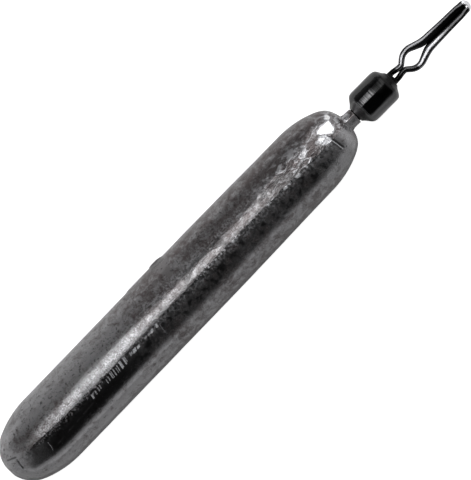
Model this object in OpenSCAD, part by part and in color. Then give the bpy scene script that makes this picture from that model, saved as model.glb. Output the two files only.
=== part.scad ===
// Pencil sinker for drop-shot fishing: a cast lead body, a rolling swivel whose lower eye
// is cast into the crown of the lead, and a line clip that turns in the swivel's barrel.
// The sinker lies on its side. X runs along it from the tail to the clip, Z is up, and the
// origin is on the surface that it lies on, below the middle of the whole length.

/* [Lead body] */
// Diameter of the lead body
body_d = 6; // [5.6:0.1:8]
// Length of the lead body from tail to crown
body_l = 37; // [20:0.5:60]
// Share of the body's radius that the blunt nose at the tail and at the crown has
nose_share = 0.85; // [0.7:0.01:0.92]
// Length over which each end swells to the full diameter
end_l = 4.7; // [4.2:0.1:8]
// Height of the lead drawn up round the legs of the cast-in eye
pour_h = 0.25; // [0.1:0.05:0.45]
// Width of the ring of lead round those legs, at its top
pour_rim = 0.07; // [0.02:0.01:0.3]
// Radius of the fillet between that ring and the crown
pour_fillet_r = 0.3; // [0.1:0.05:0.6]

/* [Trimmed parting line] */
// Width of the flat land that is left where the flash is trimmed, above and below
land_w = 1.5; // [0.6:0.1:2.4]
// Angle by which the upper land is turned about the body, towards the stub of the gate
land_turn = 12; // [0:1:20]

/* [Trimmed gate] */
// How far the stub of the gate stands proud of the body
gate_h = 0.12; // [0.05:0.01:0.3]
// Length of the stub along the body
gate_l = 2.4; // [1:0.1:5]
// Width of the stub round the body
gate_w = 1.1; // [0.6:0.1:2]
// Distance of the stub from the middle of the body, towards the clip
gate_from_middle = 1.2; // [0:0.1:6]

/* [Swivel barrel] */
// Largest diameter of the barrel
barrel_d = 2.9; // [2.7:0.1:4]
// Length of the barrel from mouth to mouth
barrel_l = 4; // [3.6:0.1:6]
// Length of the swaged shoulder at each end
shoulder_l = 0.65; // [0.4:0.05:0.8]
// Thickness of the barrel's wall
barrel_wall = 0.32; // [0.2:0.02:0.4]
// Thickness of the lip round each mouth
lip_wall = 0.09; // [0.05:0.01:0.2]
// Radius that rounds the barrel where its shoulders begin
barrel_edge_r = 0.25; // [0.05:0.05:0.4]
// Bare neck between the crown of the lead and the barrel
neck_gap = 0.63; // [0.5:0.01:2]
// Angle by which the cast-in swivel leans from the axis of the body
swivel_lean = 1.3; // [0:0.1:3]
// Depth below the crown at which the leaning axis crosses the axis of the body
lean_depth = 6.5; // [2:0.5:12]

/* [Wires and heads] */
// Diameter of the wire of both eyes
wire_d = 0.43; // [0.35:0.01:0.5]
// Gap between the two legs of an eye where they leave the barrel
leg_gap = 0.2; // [0.1:0.01:0.3]
// Radial clearance of each collar in its mouth
running_gap = 0.05; // [0.01:0.01:0.1]
// Skin of metal round the two legs in their upset collar
collar_skin = 0.02; // [0.01:0.01:0.05]
// Radius of the upset head that holds each eye in the barrel
head_r = 0.95; // [0.8:0.01:1]
// Play of each head along the barrel
head_play = 0.1; // [0.05:0.01:0.2]
// Thickness of each head behind its cone
head_l = 0.65; // [0.3:0.05:0.8]

/* [Cast-in eye] */
// Radius of the ring of the cast-in eye, at the middle of its wire
anchor_ring_r = 1; // [0.7:0.05:1.4]
// Angle by which each leg of the cast-in eye spreads from the axis
anchor_spread = 15; // [12:1:30]

/* [Line clip] */
// Length of the clip from the barrel's mouth to its tip
clip_l = 8.07; // [6.5:0.1:12]
// Straight length of the legs before the eye opens
clip_neck_l = 1.05; // [0.7:0.05:2]
// Inside width of the line eye
eye_w = 1; // [0.8:0.05:1.4]
// Radius of the bend at the widest place of the line eye
eye_bend_r = 1.2; // [0.9:0.05:1.4]
// Angle at which the legs spread into the line eye
eye_open_angle = 38; // [30:1:45]
// Angle at which the legs close beyond the line eye
eye_close_angle = 15; // [12:1:20]
// Radius of the bend where the legs part
part_bend_r = 0.4; // [0.32:0.02:0.5]
// Radius of the bend where the legs come together
pinch_bend_r = 1.5; // [0.8:0.1:3]
// Gap between the two pressed legs that grip the line
pinch_gap = 0.05; // [0.03:0.01:0.1]
// Width of the pressed wire where the legs part
part_w = 0.56; // [0.45:0.01:0.6]
// Width of the pressed wire at the widest place of the line eye
bend_w = 0.52; // [0.45:0.01:0.7]
// Width of the pressed wire where the legs come together
pinch_w = 0.69; // [0.5:0.01:0.75]
// Width of the pressed wire at the tip
tip_w = 0.57; // [0.5:0.01:0.7]

/* [Hidden] */
$fn = 64;

// How far the foot of the fillet bites into the crown
pour_bite = 0.01;

// Steps of a rounded corner, of each bend and leg, and of the wire's own round
corner_steps = 5;
bend_steps = 10;
tip_steps = 8;
leg_steps = 4;
ring_steps = 30;
wire_sides = 16;

body_r = body_d / 2;
nose_r = body_r * nose_share;
land_z = sqrt(body_r ^ 2 - land_w ^ 2 / 4);
barrel_r = barrel_d / 2;
wire_r = wire_d / 2;
leg_y = (leg_gap + wire_d) / 2;
collar_r = leg_y + wire_r + collar_skin;
mouth_r = collar_r + running_gap;
lip_r = mouth_r + lip_wall;
lip_edge_r = lip_wall / 3;
head_edge_r = head_l / 3;

// The arc of each end's shoulder meets the nose and the straight side without a step
shoulder_r = ((end_l - nose_r) ^ 2 + body_r ^ 2 - nose_r ^ 2) / (2 * (body_r - nose_r));
nose_end = nose_r - nose_r * (end_l - nose_r) / (shoulder_r - nose_r);

// The inside of the barrel follows its outside at the thickness of the wall
shoulder_angle = atan2(barrel_r - lip_r, shoulder_l);
shoulder_x = barrel_l / 2 - shoulder_l;
cavity_r = barrel_r - barrel_wall;
cavity_x = shoulder_x - barrel_wall * tan(shoulder_angle / 2);

// Places along the sinker
swivel_l = neck_gap + barrel_l + clip_l;
total_l = body_l + swivel_l * cos(swivel_lean);
tail_x = -total_l / 2;
crown_x = tail_x + body_l;
barrel_x = neck_gap + barrel_l / 2;
gate_curve_r = (gate_l ^ 2 / 4 + gate_h ^ 2) / (2 * gate_h);

// Each collar stands out of its mouth by a third of the lip, so that no leg touches it
collar_out = lip_wall / 3;

// The ring of the cast-in eye, measured from the barrel's mouth
spread_x = collar_out + wire_r;
ring_x = spread_x + (anchor_ring_r - leg_y * cos(anchor_spread)) / sin(anchor_spread);
crown_leg_y = leg_y + (neck_gap - spread_x) * tan(anchor_spread);

// The line eye and the pressed legs, measured from the barrel's mouth
eye_y = (eye_w + bend_w) / 2;
bend_y = eye_y - eye_bend_r;
open_y = bend_y + eye_bend_r * cos(eye_open_angle);
open_x = clip_neck_l + (open_y - leg_y) / tan(eye_open_angle);
bend_x = open_x + eye_bend_r * sin(eye_open_angle);
close_x = bend_x + eye_bend_r * sin(eye_close_angle);
close_y = bend_y + eye_bend_r * cos(eye_close_angle);
pinch_y = (pinch_gap + pinch_w) / 2;
pinch_x = close_x + (close_y - pinch_y) / tan(eye_close_angle);
tip_y = (pinch_gap + tip_w) / 2;
tip_x = clip_l - tip_y - tip_w / 2;

// Width of each eye's wire at each place along it
anchor_widths = [
    [0, wire_d],
    [ring_x, wire_d]
];
clip_widths = [
    [0, wire_d],
    [clip_neck_l - part_w, wire_d],
    [clip_neck_l, part_w],
    [open_x, (wire_d + bend_w) / 2],
    [bend_x, bend_w],
    [pinch_x, pinch_w],
    [tip_x, tip_w]
];

function unit(v) = v / norm(v);

// Points on the arc of radius r that rounds the corner b between a and c
function corner(a, b, c, r, steps = corner_steps) =
    let (
        u = unit(a - b),
        v = unit(c - b),
        half = acos(u * v) / 2,
        centre = b + unit(u + v) * r / sin(half),
        from = b + u * r / tan(half) - centre,
        start = atan2(from.y, from.x),
        side = cross(b - a, c - b) > 0 ? 1 : -1
    )
    [for (i = [0:steps])
        let (turn = start + side * (180 - 2 * half) * i / steps)
        centre + r * [cos(turn), sin(turn)]];

// An outline whose corners carry their radius as a third value, zero for a sharp one
function rounded(outline) =
    let (
        count = len(outline),
        at = [for (p = outline) [p.x, p.y]]
    )
    [for (i = [0:count - 1])
        let (
            before = at[(i + count - 1) % count],
            after = at[(i + 1) % count]
        )
        each outline[i].z > 0 ? corner(before, at[i], after, outline[i].z) : [at[i]]];

function mirrored(points) = [for (i = [len(points) - 1:-1:0]) [points[i].x, -points[i].y]];

// The legs of each wire start inside its collar
leg_root = [-wire_d, leg_y];

// The route of the cast-in eye: a leg, the ring and the other leg
ring_turn = 90 + anchor_spread;
anchor_part = [spread_x, leg_y];
anchor_meet = [ring_x - anchor_ring_r * sin(anchor_spread), anchor_ring_r * cos(anchor_spread)];
anchor_leg = concat([leg_root], corner(leg_root, anchor_part, anchor_meet, part_bend_r));
anchor_route = concat(
    anchor_leg,
    [for (i = [0:ring_steps])
        let (turn = ring_turn * (1 - 2 * i / ring_steps))
        [ring_x + anchor_ring_r * cos(turn), anchor_ring_r * sin(turn)]],
    mirrored(anchor_leg)
);

// The route of the clip: a leg, the bend at the tip and the other leg
clip_part = [clip_neck_l, leg_y];
clip_pinch = [pinch_x, pinch_y];
clip_tip = [tip_x, tip_y];
clip_leg = concat(
    [leg_root],
    corner(leg_root, clip_part, [open_x, open_y], part_bend_r),
    [for (i = [0:bend_steps])
        let (turn = eye_open_angle - (eye_open_angle + eye_close_angle) * i / bend_steps)
        [bend_x - eye_bend_r * sin(turn), bend_y + eye_bend_r * cos(turn)]],
    corner([close_x, close_y], clip_pinch, clip_tip, pinch_bend_r),
    [for (i = [1:leg_steps - 1]) clip_pinch + (clip_tip - clip_pinch) * i / leg_steps]
);
clip_route = concat(
    clip_leg,
    [for (i = [0:2 * tip_steps])
        let (turn = 90 - 90 * i / tip_steps)
        [tip_x + tip_y * cos(turn), tip_y * sin(turn)]],
    mirrored(clip_leg)
);

// The section of a wire at one point of its route. A pressed wire keeps the section of the
// round one, so it is thinner where it is wider.
function wire_ring(route, widths, i) =
    let (
        at = route[i],
        along = unit(route[min(i + 1, len(route) - 1)] - route[max(i - 1, 0)]),
        width = lookup(at.x, widths),
        height = wire_d ^ 2 / width
    )
    [for (side = [0:wire_sides - 1])
        let (
            turn = 360 * side / wire_sides,
            off = width / 2 * cos(turn)
        )
        [at.x - along.y * off, at.y + along.x * off, height / 2 * sin(turn)]];

// A wire that follows its route, closed at both ends
module swept_wire(route, widths) {
    last = len(route) - 1;
    polyhedron(
        points = [for (i = [0:last]) each wire_ring(route, widths, i)],
        faces = concat(
            [[for (side = [0:wire_sides - 1]) side]],
            [for (i = [1:last], side = [0:wire_sides - 1])
                let (
                    a = wire_sides * i + side,
                    b = wire_sides * i + (side + 1) % wire_sides
                )
                each [[a - wire_sides, a, b], [a - wire_sides, b, b - wire_sides]]],
            [[for (side = [wire_sides - 1:-1:0]) wire_sides * last + side]]
        )
    );
}

// Places its children on the axis of the swivel, with the crown of the lead at zero
module on_swivel() {
    translate([crown_x - lean_depth, 0, land_z])
        rotate([0, 0, -swivel_lean])
            translate([lean_depth, 0, 0])
                children();
}

// Turns an outline of radius and height about the X axis
module turned() {
    rotate([0, 90, 0])
        rotate_extrude()
            children();
}

// Half of the body's outline from its tip to its middle
module body_half() {
    intersection() {
        translate([0, nose_r])
            circle(r = nose_r);
        square([body_r, nose_end]);
    }
    intersection() {
        translate([body_r - shoulder_r, end_l])
            circle(r = shoulder_r);
        translate([0, nose_end])
            square([body_r, end_l - nose_end]);
    }
    translate([0, end_l])
        square([body_r, body_l / 2 - end_l]);
}

// All that lies below a land
module under_land() {
    translate([-nose_r, -body_d, land_z - 2 * body_d])
        cube([body_l + 2 * nose_r, 2 * body_d, 2 * body_d]);
}

// The body with its two lands. It lies on the lower one.
module casting() {
    translate([tail_x, 0, land_z])
        intersection() {
            union() {
                turned()
                    body_half();
                translate([body_l, 0, 0])
                    mirror([1, 0, 0])
                        turned()
                            body_half();
            }
            rotate([-land_turn, 0, 0])
                under_land();
            mirror([0, 0, 1])
                under_land();
        }
}

module gate_stub() {
    translate([crown_x - body_l / 2 + gate_from_middle, 0, land_z])
        intersection() {
            translate([0, body_r + gate_h - gate_curve_r, 0])
                sphere(r = gate_curve_r);
            translate([-gate_l / 2, body_r - gate_w / 2, -gate_w / 2])
                cube([gate_l, gate_w, gate_w]);
        }
}

// The lead that the legs draw up as they set in the crown. It is turned about the centre of
// the nose, so that its fillet meets the crown alike all round the leaning swivel.
module pour_ring() {
    ring_r = crown_leg_y + wire_r + pour_rim;
    fillet_x = ring_r + pour_fillet_r;
    reach = nose_r + pour_fillet_r - pour_bite;
    fillet_h = sqrt(reach ^ 2 - fillet_x ^ 2);
    foot_h = fillet_h * nose_r / reach;
    translate([crown_x - nose_r, 0, land_z])
        rotate([0, 0, -asin(lean_depth * sin(swivel_lean) / nose_r)])
            turned()
                difference() {
                    translate([0, foot_h])
                        square([fillet_x, nose_r + pour_h - foot_h]);
                    translate([fillet_x, fillet_h])
                        circle(r = pour_fillet_r);
                    translate([ring_r, fillet_h])
                        square(fillet_x);
                }
}

// Turns an eye round, so that it points out of the lower mouth of the barrel into the lead
module in_lead() {
    on_swivel()
        translate([neck_gap, 0, 0])
            rotate([0, 0, 180])
                children();
}

// The upset head and collar of an eye, measured from the barrel's mouth
module swivel_head() {
    cone_x = cavity_x - head_play - barrel_l / 2;
    slope = tan(shoulder_angle);
    head_x = cone_x + (cavity_r - head_r) / slope;
    turned()
        polygon(rounded([
            [0, head_x - head_l, 0],
            [head_r, head_x - head_l, head_edge_r],
            [head_r, head_x, head_edge_r / 2],
            [collar_r, cone_x + (cavity_r - collar_r) / slope, 0],
            [collar_r, collar_out, 0],
            [0, collar_out, 0]
        ]));
}

module lead_body() {
    color("#5a595c")
        difference() {
            union() {
                casting();
                gate_stub();
                pour_ring();
            }
            in_lead()
                swept_wire(anchor_route, anchor_widths);
        }
}

module anchor_eye() {
    color("#4a4a4e")
        in_lead() {
            swivel_head();
            swept_wire(anchor_route, anchor_widths);
        }
}

module swivel_barrel() {
    lip_x = barrel_l / 2;
    throat_x = cavity_x + (cavity_r - mouth_r) / tan(shoulder_angle);
    upper = [
        [barrel_r, shoulder_x, barrel_edge_r],
        [lip_r, lip_x, lip_edge_r],
        [mouth_r, lip_x, lip_edge_r],
        [mouth_r, throat_x, 0],
        [cavity_r, cavity_x, barrel_edge_r / 2]
    ];
    lower = [for (i = [len(upper) - 1:-1:0]) [upper[i].x, -upper[i].y, upper[i].z]];
    color("#17171a")
        on_swivel()
            translate([barrel_x, 0, 0])
                turned()
                    polygon(rounded(concat(upper, lower)));
}

module line_clip() {
    color("#2b2b2f")
        on_swivel()
            translate([neck_gap + barrel_l, 0, 0]) {
                swivel_head();
                swept_wire(clip_route, clip_widths);
            }
}

lead_body();
anchor_eye();
swivel_barrel();
line_clip();
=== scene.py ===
import math

import bpy
import numpy as np
from bpy.props import FloatProperty, FloatVectorProperty, PointerProperty
from mathutils import Matrix, Vector, noise


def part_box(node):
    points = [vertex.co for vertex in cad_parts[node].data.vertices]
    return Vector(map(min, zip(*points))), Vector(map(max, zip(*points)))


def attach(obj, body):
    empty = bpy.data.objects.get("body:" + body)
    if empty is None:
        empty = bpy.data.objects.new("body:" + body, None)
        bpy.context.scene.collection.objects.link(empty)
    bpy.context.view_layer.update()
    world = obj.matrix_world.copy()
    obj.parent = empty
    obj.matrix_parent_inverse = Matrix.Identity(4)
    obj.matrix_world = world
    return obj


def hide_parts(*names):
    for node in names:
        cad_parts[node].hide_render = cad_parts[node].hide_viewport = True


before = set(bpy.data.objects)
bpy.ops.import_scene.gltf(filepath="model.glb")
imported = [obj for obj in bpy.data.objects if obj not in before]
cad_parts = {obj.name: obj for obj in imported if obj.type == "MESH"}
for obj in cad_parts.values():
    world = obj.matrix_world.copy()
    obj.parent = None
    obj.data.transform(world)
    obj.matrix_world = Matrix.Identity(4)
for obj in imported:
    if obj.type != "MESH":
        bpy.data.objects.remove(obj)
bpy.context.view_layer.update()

bl_info = {
    "name": "Drop-shot sinker",
    "version": (1, 0, 0),
    "blender": (4, 5, 0),
    "location": "3D View > Sidebar > Sinker",
    "description": "Casts the lead, bends the wires and swages the barrel of a drop-shot sinker",
    "category": "Object",
}

MM = 0.001
NODES = {"lead": "lead_body", "anchor": "anchor_eye", "barrel": "swivel_barrel", "clip": "line_clip"}


# settings

def length(name, description, millimetres):
    """A length of the object, which Blender keeps in metres."""
    return FloatProperty(name=name, description=description, default=millimetres * MM, unit="LENGTH",
                         precision=5)


def angle(name, description, degrees):
    """An angle, which Blender keeps in radians."""
    return FloatProperty(name=name, description=description, default=math.radians(degrees),
                         subtype="ANGLE")


def share(name, description, value):
    """A number from 0 to 1."""
    return FloatProperty(name=name, description=description, default=value, min=0, max=1, subtype="FACTOR")


def colour(name, description, value):
    return FloatVectorProperty(name=name, description=description, default=(*value, 1), size=4, min=0, max=1,
                               subtype="COLOR")


class LeadSettings(bpy.types.PropertyGroup):
    """Sizes and finish of the cast lead"""
    body_d: length("Body diameter", "Diameter of the lead body", 6)
    body_l: length("Body length", "Length of the lead from tail to crown", 37)
    nose_share: share("Nose share", "Share of the body's radius that the blunt noses have", 0.85)
    end_l: length("End length", "Length over which each end swells to the full diameter", 4.7)
    land_w: length("Land width", "Width of the flat lands where the flash is trimmed", 1.5)
    pour_h: length("Pour height", "Height of the lead drawn up round the cast-in legs", 0.56)
    pour_r: length("Pour radius", "Radius of that neck of lead", 0.66)
    pour_fillet: length("Pour fillet", "Radius of the fillet below that neck", 0.12)
    tail_flat: length("Tail flat", "How much the tip of the tail is flattened", 0.05)
    crown_flat: length("Crown flat", "How much the tip of the crown is flattened", 0.22)
    taper: share("Taper", "Share by which the crown end is thinner than the tail end", 0.035)
    web_h: length("Web height", "Height of the lead between the cast-in legs, above that neck", 0.03)
    gate_h: length("Gate height", "How far the stub of the gate stands proud", 0.15)
    gate_l: length("Gate length", "Length of the stub along the body", 1.3)
    gate_w: length("Gate width", "Width of the stub round the body", 1.1)
    gate_x: length("Gate place", "Distance of the stub from the middle of the body", 0.55)
    seam_fall: length("Seam fall", "How far the frosted half falls away from the seam", 0.045)
    seam_step: length("Seam step", "Step between the mould halves along the upper seam", 0.03)
    mark_depth: length("Mark depth", "Depth of the trimming tool's marks beside the seam", 0.03)
    crease_depth: length("Crease depth", "Depth of the cold crease in the crown", 0.06)
    bright: colour("Bright lead", "Colour of clean cast lead", (0.212, 0.21, 0.215))
    oxide: colour("Lead oxide", "Colour of the dull oxide", (0.078, 0.067, 0.067))
    # the colour of freshly worn lead, which also paints the glints of the strip and the crown's highlight:
    # painted highlights
    rubbed_and_glints: colour("Rubbed lead", "Colour of freshly rubbed lead", (0.83, 0.845, 0.88))
    # the colour of dirt in pits, hair cracks and cuts, which also paints the shade in the crown's crease:
    # painted shade
    soot_and_shade: colour("Soot", "Colour of the dirt in pits, hair cracks and cuts", (0.018, 0.017, 0.017))


class SwivelSettings(bpy.types.PropertyGroup):
    """Sizes and finish of the swivel, its barrel and its two eyes"""
    barrel_d: length("Barrel diameter", "Largest diameter of the barrel", 2.9)
    barrel_l: length("Barrel length", "Length of the barrel from mouth to mouth", 4)
    shoulder_l: length("Shoulder length", "Length of the swaged shoulder at each end", 0.65)
    barrel_wall: length("Barrel wall", "Thickness of the barrel's wall", 0.32)
    lip_wall: length("Lip wall", "Thickness of the lip round each mouth", 0.09)
    neck_gap: length("Neck gap", "Bare neck between the crown and the barrel", 0.63)
    lean: angle("Swivel lean", "Angle by which the cast-in swivel leans", 1.3)
    lean_depth: length("Lean depth", "Depth below the crown at which the axes cross", 6.5)
    wire_d: length("Wire diameter", "Diameter of the wire of both eyes", 0.43)
    leg_gap: length("Leg gap", "Gap between the legs where they leave the barrel", 0.2)
    running_gap: length("Running gap", "Radial clearance of each collar in its mouth", 0.05)
    collar_skin: length("Collar skin", "Metal round the two legs in their collar", 0.02)
    anchor_ring_r: length("Anchor ring radius", "Radius of the ring of the cast-in eye", 1)
    anchor_spread: angle("Anchor spread", "Angle by which the cast-in legs spread", 15)
    black: colour("Black nickel", "Colour of the barrel's plating", (0.046, 0.046, 0.048))
    # painted light down the barrel's sides
    flank: colour("Barrel flank", "Colour of the plating down the barrel's sides", (0.085, 0.085, 0.086))
    # painted shade on top of the barrel
    deep: colour("Barrel window", "Colour of the darkest plating on top of the barrel", (0.016, 0.016, 0.016))
    # the painted highlight of the bright bars where the lamp's reflection lies
    worn: colour("Barrel wear", "Colour of the bars rubbed into the plating", (0.5, 0.5, 0.51))
    # the painted highlight along the crests of the wire
    wire: colour("Wire nickel", "Colour of the plated wire", (0.5, 0.5, 0.52))
    # the wire's own dark plating, also the painted shade on its flanks
    shaded_wire: colour("Wire tarnish", "Colour of the wire's darker flanks", (0.032, 0.032, 0.033))
    # painted shade between the pressed legs and at the neck
    groove_shade: colour("Wire groove", "Colour of the wire between the pressed legs", (0.01, 0.01, 0.01))
    # painted highlight on the tip of the clip
    tip: colour("Wire tip", "Colour of the rubbed tip of the clip", (0.7, 0.7, 0.72))


class ClipSettings(bpy.types.PropertyGroup):
    """Sizes of the line clip"""
    clip_l: length("Clip length", "Length of the clip from the barrel's mouth to its tip", 8.07)
    neck_l: length("Clip neck", "Length of the legs before the eye opens", 1.08)
    touch_l: length("Clip touch", "Length over which the legs touch before the eye opens", 0.33)
    crotch_gap: length("Crotch gap", "Gap between the legs where they part into the eye", 0.01)
    eye_w: length("Eye width", "Inside width of the line eye", 1)
    eye_bend_r: length("Eye bend", "Radius of the bend at the widest place of the eye", 1.05)
    open_angle: angle("Opening angle", "Angle at which the legs spread into the eye", 41)
    close_angle: angle("Closing angle", "Angle at which the legs close beyond the eye", 21.5)
    part_r: length("Parting bend", "Radius of the bend where the legs part", 0.3)
    pinch_r: length("Pinch bend", "Radius of the bend where the legs come together", 2.0)
    pinch_gap: length("Pinch gap", "Gap between the two pressed legs, below nothing where they bite", -0.012)
    part_w: length("Parting width", "Width of the pressed wire where the legs part", 0.47)
    bend_w: length("Bend width", "Width of the pressed wire beside the eye", 0.52)
    pinch_w: length("Pinch width", "Width of the pressed wire where the legs meet", 0.67)
    grip_w: length("Grip width", "Width of the pressed wire half way to the tip", 0.57)
    tip_w: length("Tip width", "Width of the pressed wire at the tip", 0.53)
    flat_turn: angle("Flat turn", "Tilt of the flats that the pressing leaves on the legs", 10)
    flat_share: share("Flat share", "Share of the wire's radius at which those flats lie", 0.91)
    splay: share("Splay", "Share of its height by which each pressed leg's crest is shifted out", 0.55)


class StageSettings(bpy.types.PropertyGroup):
    """The studio: floor, lamps and camera"""
    floor: colour("Floor", "Colour of the pale floor", (0.75, 0.75, 0.75))
    camera_distance: length("Camera distance", "Height of the camera above the floor", 600)
    view_width: length("View width", "Width that the camera sees at the sinker's axis", 35.65)
    view_x: length("View centre X", "Where the camera looks, along the sinker", -0.36)
    view_y: length("View centre Y", "Where the camera looks, across the sinker", -0.187)
    view_roll: angle("View roll", "Angle of the sinker in the picture", 46.1)
    key: FloatProperty(name="Key strength", description="Radiance of the long soft lamp", default=5.4)
    crown_lamp: FloatProperty(name="Low lamp strength", description="Radiance of the low lamp", default=2.4)
    sky: FloatProperty(name="Sky strength", description="Strength of the dim surroundings", default=1.0)


SETTINGS = {"sinker_lead": LeadSettings, "sinker_swivel": SwivelSettings, "sinker_clip": ClipSettings,
            "sinker_stage": StageSettings}


# places and routes

class Places:
    """Sizes that follow from the settings, in metres."""

    def __init__(self, scene):
        lead, swivel, clip = scene.sinker_lead, scene.sinker_swivel, scene.sinker_clip
        self.body_r = lead.body_d / 2
        self.nose_r = self.body_r * lead.nose_share
        self.axis_z = math.sqrt(self.body_r ** 2 - lead.land_w ** 2 / 4)
        reach = lead.end_l - self.nose_r
        drop = self.body_r - self.nose_r
        self.shoulder_r = (reach ** 2 + self.body_r ** 2 - self.nose_r ** 2) / (2 * drop)
        self.nose_end = self.nose_r - self.nose_r * reach / (self.shoulder_r - self.nose_r)
        swivel_l = swivel.neck_gap + swivel.barrel_l + clip.clip_l
        self.tail_x = -(lead.body_l + swivel_l * math.cos(swivel.lean)) / 2
        self.crown_x = self.tail_x + lead.body_l
        self.wire_r = swivel.wire_d / 2
        self.leg_y = (swivel.leg_gap + swivel.wire_d) / 2
        self.collar_r = self.leg_y + self.wire_r + swivel.collar_skin
        self.mouth_r = self.collar_r + swivel.running_gap
        self.collar_out = swivel.lip_wall / 3
        self.on_swivel = (
            Matrix.Translation((self.crown_x - swivel.lean_depth, 0, self.axis_z))
            @ Matrix.Rotation(-swivel.lean, 4, "Z")
            @ Matrix.Translation((swivel.lean_depth, 0, 0))
        )
        self.in_lead = self.along_swivel(swivel.neck_gap) @ Matrix.Rotation(math.pi, 4, "Z")
        self.in_barrel = self.along_swivel(swivel.neck_gap + swivel.barrel_l / 2)
        self.in_clip = self.along_swivel(swivel.neck_gap + swivel.barrel_l)
        self.barrel_middle = self.in_barrel.translation

    def along_swivel(self, distance):
        """A place on the swivel's axis, at a distance past the crown, turned to run along that axis."""
        return self.on_swivel @ Matrix.Translation((distance, 0, 0))


def unit(v):
    return v / np.linalg.norm(v)


def corner(a, b, c, r, steps=8):
    """Points on the arc of radius r that rounds the corner b between a and c."""
    a, b, c = (np.array(p, float) for p in (a, b, c))
    u, v = unit(a - b), unit(c - b)
    half = math.acos(float(u @ v)) / 2
    centre = b + unit(u + v) * r / math.sin(half)
    start = b + u * r / math.tan(half) - centre
    first = math.atan2(start[1], start[0])
    side = 1 if (b - a)[0] * (c - b)[1] - (b - a)[1] * (c - b)[0] > 0 else -1
    turns = (first + side * (math.pi - 2 * half) * i / steps for i in range(steps + 1))
    return [tuple(centre + r * np.array((math.cos(t), math.sin(t)))) for t in turns]


def between(a, b, steps=12):
    """Points on the straight line from a to b, without its ends."""
    return [tuple(np.array(a) + (np.array(b) - a) * i / steps) for i in range(1, steps)]


def there_and_back(leg, middle):
    """A route down one leg, over the middle and back up the mirrored leg."""
    return leg + middle + [(x, -y) for x, y in reversed(leg)]


def anchor_route(at, swivel):
    """The cast-in eye's route: two legs that part below the collar, and the ring between them."""
    spread, ring_r, part_r = swivel.anchor_spread, swivel.anchor_ring_r, 0.4 * MM
    root, part = (-swivel.wire_d, at.leg_y), (at.collar_out + at.wire_r, at.leg_y)
    ring_x = part[0] + (ring_r - at.leg_y * math.cos(spread)) / math.sin(spread)
    meet = (ring_x - ring_r * math.sin(spread), ring_r * math.cos(spread))
    leg = [root] + corner(root, part, meet, part_r)
    turns = (math.pi / 2 + spread - (math.pi + 2 * spread) * i / 48 for i in range(49))
    return there_and_back(leg, [(ring_x + ring_r * math.cos(t), ring_r * math.sin(t)) for t in turns])


def clip_route(at, swivel, clip):
    """The clip's route and the width of its wire at each place along it."""
    opening, closing, bend_r = clip.open_angle, clip.close_angle, clip.eye_bend_r
    bend_y = (clip.eye_w + clip.bend_w) / 2 - bend_r
    open_y = bend_y + bend_r * math.cos(opening)
    closed = (clip.crotch_gap + clip.part_w) / 2
    crotch = (clip.neck_l, closed - clip.part_r * (1 / math.cos(opening / 2) - 1))
    touch = (clip.neck_l - clip.touch_l, crotch[1])
    open_x = crotch[0] + (open_y - crotch[1]) / math.tan(opening)
    bend_x = open_x + bend_r * math.sin(opening)
    close = (bend_x + bend_r * math.sin(closing), bend_y + bend_r * math.cos(closing))
    pinch_y = (clip.pinch_gap + clip.pinch_w) / 2
    pinch = (close[0] + (close[1] - pinch_y) / math.tan(closing), pinch_y)
    tip_r = (clip.pinch_gap + clip.tip_w) / 2
    tip = (clip.clip_l - tip_r - clip.tip_w / 2, tip_r)
    root, mouth = (-swivel.wire_d, at.leg_y), (at.collar_out + at.wire_r, at.leg_y)
    bend = [opening - (opening + closing) * i / 16 for i in range(17)]
    grip = ((pinch[0] + tip[0]) / 2, (clip.pinch_gap + clip.grip_w) / 2)
    leg = [root] + corner(root, mouth, touch, clip.part_r) + corner(mouth, touch, crotch, clip.part_r)
    leg += corner(touch, crotch, (open_x, open_y), clip.part_r)
    leg += [(bend_x - bend_r * math.sin(t), bend_y + bend_r * math.cos(t)) for t in bend]
    leg += corner(close, pinch, grip, clip.pinch_r)
    leg += between(leg[-1], grip) + [grip] + between(grip, tip)
    turns = (math.pi / 2 - math.pi * i / 24 for i in range(25))
    route = there_and_back(leg, [(tip[0] + tip_r * math.cos(t), tip_r * math.sin(t)) for t in turns])
    widths = ([0, touch[0], clip.neck_l, open_x, bend_x, pinch[0], grip[0], tip[0]],
              [swivel.wire_d, clip.part_w, clip.part_w, (swivel.wire_d + clip.bend_w) / 2, clip.bend_w,
               clip.pinch_w, clip.grip_w, clip.tip_w])
    return route, widths, pinch[0]


# modelling by hand

def place_in_mesh(piece):
    """Moves a piece's place into its mesh, so that its object sits at the origin."""
    bpy.ops.object.transform_apply(location=True, rotation=True, scale=True)
    bpy.ops.object.shade_smooth()
    return piece


def finish_modifier(kind, **values):
    """Adds a modifier to the active piece and applies it."""
    bpy.ops.object.modifier_add(type=kind)
    modifier = bpy.context.object.modifiers[-1]
    for name, value in values.items():
        setattr(modifier, name, value)
    bpy.ops.object.modifier_apply(modifier=modifier.name)


def turn_piece(name, profile, columns, turn=0.0):
    """A closed skin of revolution about X: a filled ring is extruded from station to station."""
    bpy.ops.object.select_all(action="DESELECT")
    (x0, r0) = profile[0]
    bpy.ops.mesh.primitive_circle_add(vertices=columns, radius=r0, fill_type="NGON", location=(x0, 0, 0),
                                      rotation=(turn, math.pi / 2, 0))
    piece = bpy.context.object
    piece.name = piece.data.name = name
    bpy.ops.object.mode_set(mode="EDIT")
    for (x0, r0), (x1, r1) in zip(profile, profile[1:]):
        bpy.ops.mesh.extrude_region_move(TRANSFORM_OT_translate={"value": (x1 - x0, 0, 0)})
        bpy.ops.transform.resize(value=(1, r1 / r0, r1 / r0), center_override=(x1, 0, 0))
    bpy.ops.mesh.select_all(action="SELECT")
    bpy.ops.mesh.normals_make_consistent(inside=False)
    bpy.ops.object.mode_set(mode="OBJECT")
    return place_in_mesh(piece)


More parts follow.
